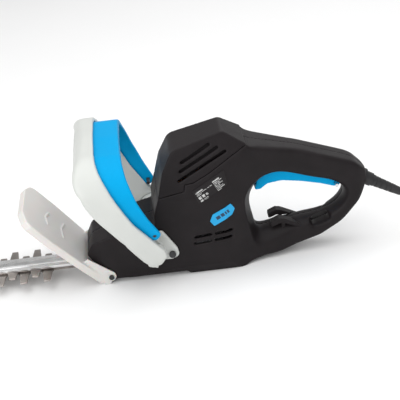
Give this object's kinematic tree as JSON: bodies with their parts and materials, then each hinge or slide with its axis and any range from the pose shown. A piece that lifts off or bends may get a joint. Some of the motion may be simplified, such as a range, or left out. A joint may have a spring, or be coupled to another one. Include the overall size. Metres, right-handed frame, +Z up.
{
  "type": "corded hedge trimmer",
  "caption": "Corded hedge trimmer with a twin reciprocating blade, front bail handle with switch bow, hand guard, rear trigger grip and mains lead",
  "frame": {"origin": "on the flat underside, directly below the motor axis, midway between the sides", "axes": "+X to the rear grip, -X to the blade tip, +Z up, left side of the tool at -Y"},
  "size_m": [1.1962, 0.188, 0.1739],
  "materials": {
    "black_plastic": "fine matte grain",
    "grey_plastic": "satin",
    "guard_plastic": "satin, slightly translucent",
    "blue_plastic": "satin",
    "blade_steel": "ground steel",
    "steel": "ground",
    "zinc_steel": "zinc plated",
    "aluminium": "extruded",
    "die_cast": "as cast",
    "iron": "laminated",
    "copper": "enamelled wire",
    "brass": "plain",
    "carbon": "carbon",
    "nylon": "plain",
    "rubber": "satin",
    "felt": "felt",
    "label": "printed film"
  },
  "bodies": {
    "housing": {"base_plate": "die_cast", "base_plate_screws": "zinc_steel", "bearing_outer_rings": "steel", "blade_bolts": "steel", "blade_nuts": "steel", "bow_pivot_pins": "steel", "brush_holders": "brass", "brush_springs": "steel", "cable_hooks": "black_plastic", "carbon_brushes": "carbon", "cord_clamp": "nylon", "cord_gland": "rubber", "felt_seal": "felt", "field_windings": "copper", "front_handle_liner": "grey_plastic", "front_handle_lug_screws": "zinc_steel", "front_handle_screws": "zinc_steel", "front_handle_shell": "grey_plastic", "front_switch": "nylon", "gear_bushes": "brass", "gearbox_frame": "die_cast", "guard_screws": "zinc_steel", "guide_bar": "aluminium", "guide_bar_screws": "steel", "hand_guard": "guard_plastic", "housing_screws": "zinc_steel", "inner_cord": "rubber", "interference_capacitor": "nylon", "internal_wiring": "rubber", "left_housing": "black_plastic", "motor_bracket": "nylon", "motor_cowl": "black_plastic", "plug_body": "rubber", "plug_pins": "brass", "power_cord": "rubber", "rating_labels": "label", "rear_switch": "nylon", "right_housing": "black_plastic", "side_badges": "blue_plastic", "stator_core": "iron", "strain_relief": "rubber", "trigger_pin": "steel", "trigger_spring": "steel"},
    "drive": {"drive_gear": "steel", "double_eccentric": "steel", "gear_shaft": "steel"},
    "armature": {"motor_shaft": "steel", "pinion": "steel", "bearing_inner_rings": "steel", "bearing_balls": "steel", "armature_core": "iron", "armature_windings": "copper", "commutator": "copper", "cooling_fan": "nylon"},
    "upper_blade": {"upper_blade": "blade_steel"},
    "lower_blade": {"lower_blade": "blade_steel"},
    "trigger": {"trigger": "blue_plastic"},
    "rear_plunger": {"rear_switch_plunger": "nylon"},
    "bow": {"front_switch_bow": "blue_plastic"},
    "front_plunger": {"front_switch_plunger": "nylon"}
  },
  "joints": [
    {"name": "gear_spin", "type": "hinge", "parent": "housing", "child": "drive", "pos_m": [-0.03465, 0, 0.028], "axis": [0, 0, 1], "continuous": true},
    {"name": "armature_spin", "type": "hinge", "parent": "housing", "child": "armature", "pos_m": [0, 0, 0.08], "axis": [0, 0, 1], "continuous": true},
    {"name": "upper_blade_slide", "type": "slide", "parent": "housing", "child": "upper_blade", "axis": [1, 0, 0], "range_m": [0, 0.0135]},
    {"name": "lower_blade_slide", "type": "slide", "parent": "housing", "child": "lower_blade", "axis": [-1, 0, 0], "range_m": [0, 0.0135]},
    {"name": "trigger_pivot", "type": "hinge", "parent": "housing", "child": "trigger", "pos_m": [0.1685, 0, 0.081], "axis": [0, 1, 0], "range_deg": [0, 4.5], "stiffness_Nm_per_rad": 4, "springref_deg": -3.44, "deforming": ["trigger_spring"]},
    {"name": "rear_plunger_slide", "type": "slide", "parent": "housing", "child": "rear_plunger", "axis": [0, 0, 1], "range_m": [0, 0.005]},
    {"name": "bow_pivot", "type": "hinge", "parent": "housing", "child": "bow", "pos_m": [-0.0485, 0, 0.077], "axis": [0, -1, 0], "range_deg": [0, 1.5], "stiffness_Nm_per_rad": 12, "springref_deg": -2.86},
    {"name": "front_plunger_slide", "type": "slide", "parent": "housing", "child": "front_plunger", "axis": [-1, 0, 0], "range_m": [0, 0.0018]}
  ],
  "couplings": [
    {"joint": "gear_spin", "follows": "armature_spin", "ratio": -0.1},
    {"joint": "lower_blade_slide", "follows": "upper_blade_slide", "ratio": 1},
    {"joint": "rear_plunger_slide", "follows": "trigger_pivot", "m_per_rad": 0.05},
    {"joint": "front_plunger_slide", "follows": "bow_pivot", "m_per_rad": 0.065}
  ]
}
